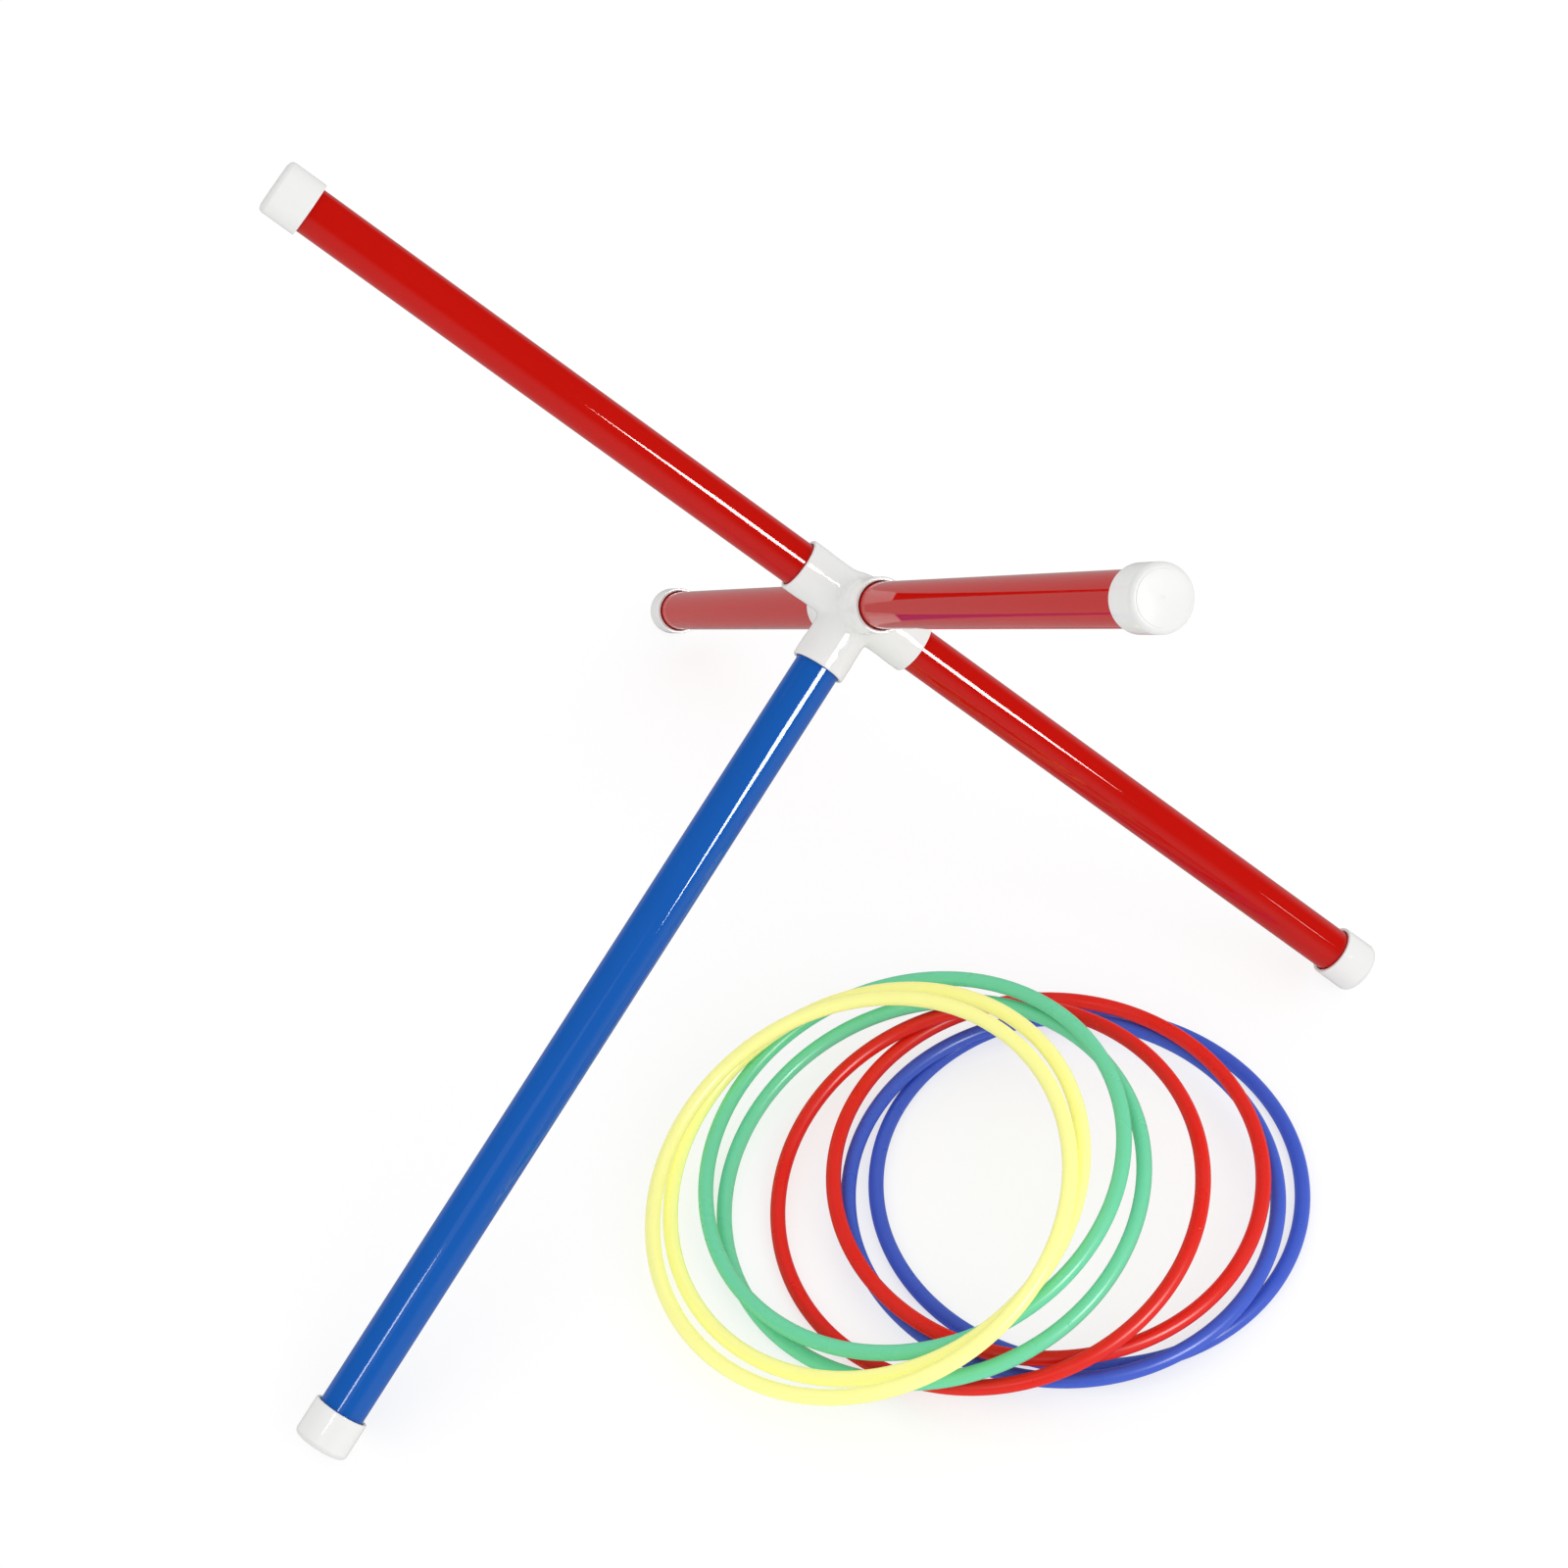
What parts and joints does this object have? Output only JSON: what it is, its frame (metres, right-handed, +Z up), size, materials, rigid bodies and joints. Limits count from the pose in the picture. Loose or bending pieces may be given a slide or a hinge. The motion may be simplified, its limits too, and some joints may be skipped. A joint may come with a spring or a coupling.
{
  "type": "ring toss set",
  "caption": "Ring toss set: a tripod stand of push-fit pipes on a five-way connector, with two raised pegs, and a fanned pile of tossing rings.",
  "frame": {"origin": "on the floor, under the middle of the set's bounding box", "axes": "+Z up; -Y faces the player, with the fanned rings in front of the stand and the blue leg to the left"},
  "size_m": [0.6096, 0.6342, 0.4916],
  "materials": {
    "white_fitting": "smooth moulded gloss",
    "red_pipe": "extruded high gloss",
    "blue_pipe": "extruded high gloss",
    "yellow_ring": "moulded satin gloss",
    "green_ring": "moulded satin gloss",
    "red_ring": "moulded satin gloss",
    "blue_ring": "moulded satin gloss"
  },
  "bodies": {
    "connector": {"five_way_connector": "white_fitting"},
    "left_peg": {"peg_tube_left": "red_pipe", "peg_cap_left": "white_fitting"},
    "front_peg": {"peg_tube_front": "red_pipe", "peg_cap_front": "white_fitting"},
    "right_leg": {"leg_tube_right": "red_pipe", "leg_cap_right": "white_fitting"},
    "back_leg": {"leg_tube_back": "red_pipe", "leg_cap_back": "white_fitting"},
    "long_leg": {"long_tube": "blue_pipe", "long_cap": "white_fitting"},
    "ring_blue_1": {"ring_blue_1": "blue_ring"},
    "ring_blue_2": {"ring_blue_2": "blue_ring"},
    "ring_red_1": {"ring_red_1": "red_ring"},
    "ring_red_2": {"ring_red_2": "red_ring"},
    "ring_green_1": {"ring_green_1": "green_ring"},
    "ring_green_2": {"ring_green_2": "green_ring"},
    "ring_yellow_1": {"ring_yellow_1": "yellow_ring"},
    "ring_yellow_2": {"ring_yellow_2": "yellow_ring"}
  },
  "joints": [
    {"name": "left_peg_pull", "type": "slide", "parent": "connector", "child": "left_peg", "axis": [-0.7339, 0.2482, 0.6323], "range_m": [0, 0.024]},
    {"name": "front_peg_pull", "type": "slide", "parent": "connector", "child": "front_peg", "axis": [0.3037, -0.7127, 0.6323], "range_m": [0, 0.024]},
    {"name": "right_leg_pull", "type": "slide", "parent": "connector", "child": "right_leg", "axis": [0.7339, -0.2482, -0.6323], "range_m": [0, 0.024]},
    {"name": "back_leg_pull", "type": "slide", "parent": "connector", "child": "back_leg", "axis": [-0.3037, 0.7127, -0.6323], "range_m": [0, 0.024]},
    {"name": "long_leg_pull", "type": "slide", "parent": "connector", "child": "long_leg", "axis": [-0.6075, -0.6561, -0.4477], "range_m": [0, 0.024]},
    {"name": "ring_blue_1_lift", "type": "slide", "parent": "connector", "child": "ring_blue_1", "axis": [0, 0, 1], "range_m": [0, 0.03]},
    {"name": "ring_blue_2_lift", "type": "slide", "parent": "ring_blue_1", "child": "ring_blue_2", "axis": [0, 0, 1], "range_m": [0, 0.03]},
    {"name": "ring_red_1_lift", "type": "slide", "parent": "ring_blue_2", "child": "ring_red_1", "axis": [0, 0, 1], "range_m": [0, 0.03]},
    {"name": "ring_red_2_lift", "type": "slide", "parent": "ring_red_1", "child": "ring_red_2", "axis": [0, 0, 1], "range_m": [0, 0.03]},
    {"name": "ring_green_1_lift", "type": "slide", "parent": "ring_red_2", "child": "ring_green_1", "axis": [0, 0, 1], "range_m": [0, 0.03]},
    {"name": "ring_green_2_lift", "type": "slide", "parent": "ring_green_1", "child": "ring_green_2", "axis": [0, 0, 1], "range_m": [0, 0.03]},
    {"name": "ring_yellow_1_lift", "type": "slide", "parent": "ring_green_2", "child": "ring_yellow_1", "axis": [0, 0, 1], "range_m": [0, 0.03]},
    {"name": "ring_yellow_2_lift", "type": "slide", "parent": "ring_yellow_1", "child": "ring_yellow_2", "axis": [0, 0, 1], "range_m": [0, 0.03]}
  ]
}
